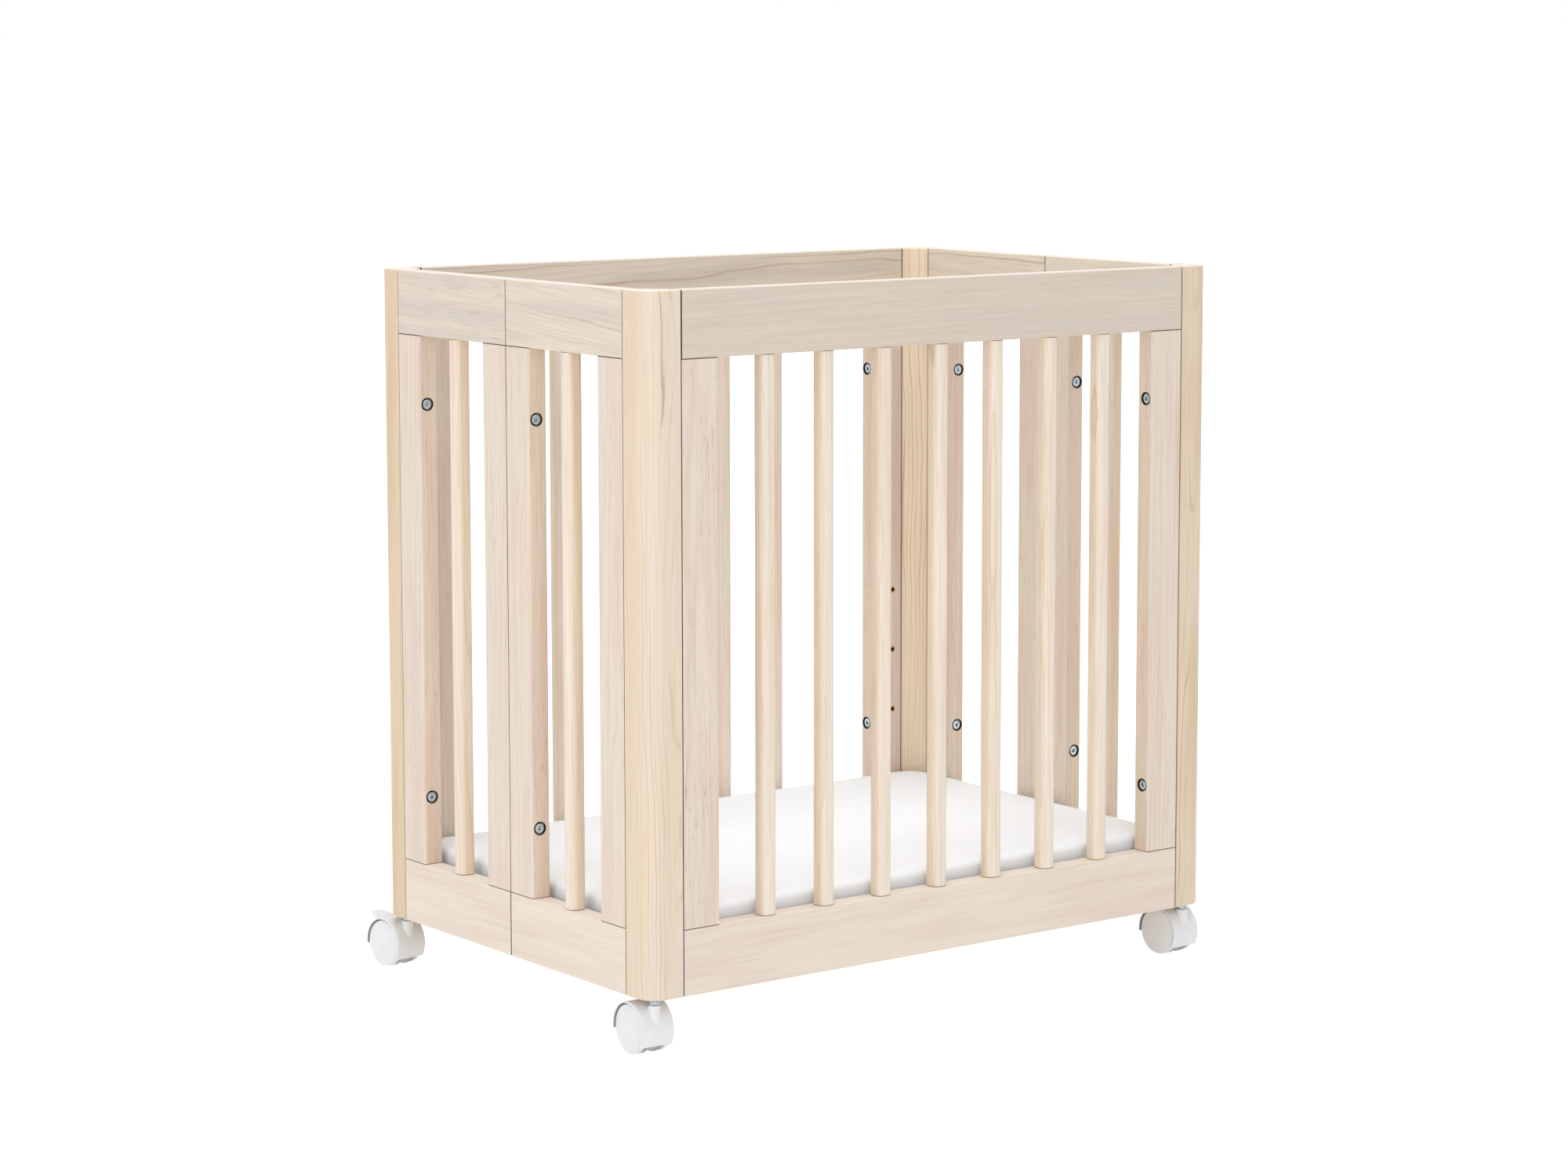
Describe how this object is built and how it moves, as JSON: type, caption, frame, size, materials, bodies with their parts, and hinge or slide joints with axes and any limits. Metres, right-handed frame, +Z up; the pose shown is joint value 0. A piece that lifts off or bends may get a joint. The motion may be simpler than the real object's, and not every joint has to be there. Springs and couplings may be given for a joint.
{
  "type": "playpen",
  "caption": "Rectangular slatted wooden playpen on hooded swivel casters, with a mattress on a bracketed base board inside bolted end and side panels.",
  "frame": {"origin": "centre of the whole part's plan box, on the floor under the casters", "axes": "+X along the long panels to the right, +Y from the front panel to the back panel, +Z up"},
  "size_m": [0.9786, 0.7066, 0.991],
  "materials": {
    "pine": "thin white wash and clear matt lacquer over pine",
    "plywood": "sanded plywood",
    "mattress_cover": "smooth white woven cover",
    "white_nylon": "satin moulded nylon",
    "white_wheel": "satin moulded nylon",
    "zinc_steel": "bright zinc plate",
    "bolt_steel": "bright zinc plate",
    "brass": "plain brass"
  },
  "bodies": {
    "frame": {"post_front_left": "pine", "caster_stems": "zinc_steel", "caster_sockets": "zinc_steel", "post_front_right": "pine", "post_back_right": "pine", "post_back_left": "pine", "front_top_rail": "pine", "front_bottom_rail": "pine", "front_left_stile": "pine", "front_right_stile": "pine", "front_slats": "pine", "panel_bolts": "bolt_steel", "panel_bolt_inserts": "brass", "base_inserts": "brass", "base_brackets": "zinc_steel", "base_screws": "bolt_steel", "back_top_rail": "pine", "back_bottom_rail": "pine", "back_right_stile": "pine", "back_left_stile": "pine", "back_slats": "pine", "left_back_top_rail": "pine", "left_back_bottom_rail": "pine", "left_back_outer_stile": "pine", "left_back_inner_stile": "pine", "left_end_slats": "pine", "left_front_top_rail": "pine", "left_front_bottom_rail": "pine", "left_front_inner_stile": "pine", "left_front_outer_stile": "pine", "right_front_top_rail": "pine", "right_front_bottom_rail": "pine", "right_front_outer_stile": "pine", "right_front_inner_stile": "pine", "right_end_slats": "pine", "right_back_top_rail": "pine", "right_back_bottom_rail": "pine", "right_back_inner_stile": "pine", "right_back_outer_stile": "pine", "mattress_board": "plywood"},
    "mattress": {"mattress": "mattress_cover"},
    "caster_front_left": {"caster_hood_front_left": "white_nylon", "caster_axle_front_left": "zinc_steel"},
    "wheel_front_left_lh": {"caster_wheel_front_left_lh": "white_wheel"},
    "wheel_front_left_rh": {"caster_wheel_front_left_rh": "white_wheel"},
    "caster_front_right": {"caster_hood_front_right": "white_nylon", "caster_axle_front_right": "zinc_steel"},
    "wheel_front_right_lh": {"caster_wheel_front_right_lh": "white_wheel"},
    "wheel_front_right_rh": {"caster_wheel_front_right_rh": "white_wheel"},
    "caster_back_right": {"caster_hood_back_right": "white_nylon", "caster_axle_back_right": "zinc_steel"},
    "wheel_back_right_lh": {"caster_wheel_back_right_lh": "white_wheel"},
    "wheel_back_right_rh": {"caster_wheel_back_right_rh": "white_wheel"},
    "brake_back_right": {"brake_lever_back_right": "white_nylon"},
    "caster_back_left": {"caster_hood_back_left": "white_nylon", "caster_axle_back_left": "zinc_steel"},
    "wheel_back_left_lh": {"caster_wheel_back_left_lh": "white_wheel"},
    "wheel_back_left_rh": {"caster_wheel_back_left_rh": "white_wheel"},
    "brake_back_left": {"brake_lever_back_left": "white_nylon"}
  },
  "joints": [
    {"name": "mattress_lift", "type": "slide", "parent": "frame", "child": "mattress", "axis": [0, 0, 1], "range_m": [0, 0.87]},
    {"name": "swivel_front_left", "type": "hinge", "parent": "frame", "child": "caster_front_left", "pos_m": [-0.45778, -0.3313, 0.0676], "axis": [0, 0, 1], "continuous": true},
    {"name": "roll_front_left_lh", "type": "hinge", "parent": "caster_front_left", "child": "wheel_front_left_lh", "pos_m": [-0.45648, -0.30463, 0.033], "axis": [0.9988, -0.0488, 0], "continuous": true},
    {"name": "roll_front_left_rh", "type": "hinge", "parent": "caster_front_left", "child": "wheel_front_left_rh", "pos_m": [-0.45648, -0.30463, 0.033], "axis": [0.9988, -0.0488, 0], "continuous": true},
    {"name": "swivel_front_right", "type": "hinge", "parent": "frame", "child": "caster_front_right", "pos_m": [0.46422, -0.3313, 0.0676], "axis": [0, 0, 1], "continuous": true},
    {"name": "roll_front_right_lh", "type": "hinge", "parent": "caster_front_right", "child": "wheel_front_right_lh", "pos_m": [0.46282, -0.30464, 0.033], "axis": [0.9986, 0.0523, 0], "continuous": true},
    {"name": "roll_front_right_rh", "type": "hinge", "parent": "caster_front_right", "child": "wheel_front_right_rh", "pos_m": [0.46282, -0.30464, 0.033], "axis": [0.9986, 0.0523, 0], "continuous": true},
    {"name": "swivel_back_right", "type": "hinge", "parent": "frame", "child": "caster_back_right", "pos_m": [0.46422, 0.2807, 0.0676], "axis": [0, 0, 1], "continuous": true},
    {"name": "roll_back_right_lh", "type": "hinge", "parent": "caster_back_right", "child": "wheel_back_right_lh", "pos_m": [0.46235, 0.30733, 0.033], "axis": [0.9976, 0.0698, 0], "continuous": true},
    {"name": "roll_back_right_rh", "type": "hinge", "parent": "caster_back_right", "child": "wheel_back_right_rh", "pos_m": [0.46235, 0.30733, 0.033], "axis": [0.9976, 0.0698, 0], "continuous": true},
    {"name": "brake_back_right", "type": "hinge", "parent": "caster_back_right", "child": "brake_back_right", "pos_m": [0.46166, 0.31731, 0.0605], "axis": [-0.9976, -0.0698, 0], "range_deg": [0, 10]},
    {"name": "swivel_back_left", "type": "hinge", "parent": "frame", "child": "caster_back_left", "pos_m": [-0.45778, 0.2807, 0.0676], "axis": [0, 0, 1], "continuous": true},
    {"name": "roll_back_left_lh", "type": "hinge", "parent": "caster_back_left", "child": "wheel_back_left_lh", "pos_m": [-0.46085, 0.30722, 0.033], "axis": [0.9934, 0.1149, 0], "continuous": true},
    {"name": "roll_back_left_rh", "type": "hinge", "parent": "caster_back_left", "child": "wheel_back_left_rh", "pos_m": [-0.46085, 0.30722, 0.033], "axis": [0.9934, 0.1149, 0], "continuous": true},
    {"name": "brake_back_left", "type": "hinge", "parent": "caster_back_left", "child": "brake_back_left", "pos_m": [-0.462, 0.31716, 0.0605], "axis": [-0.9934, -0.1149, 0], "range_deg": [0, 10]}
  ]
}
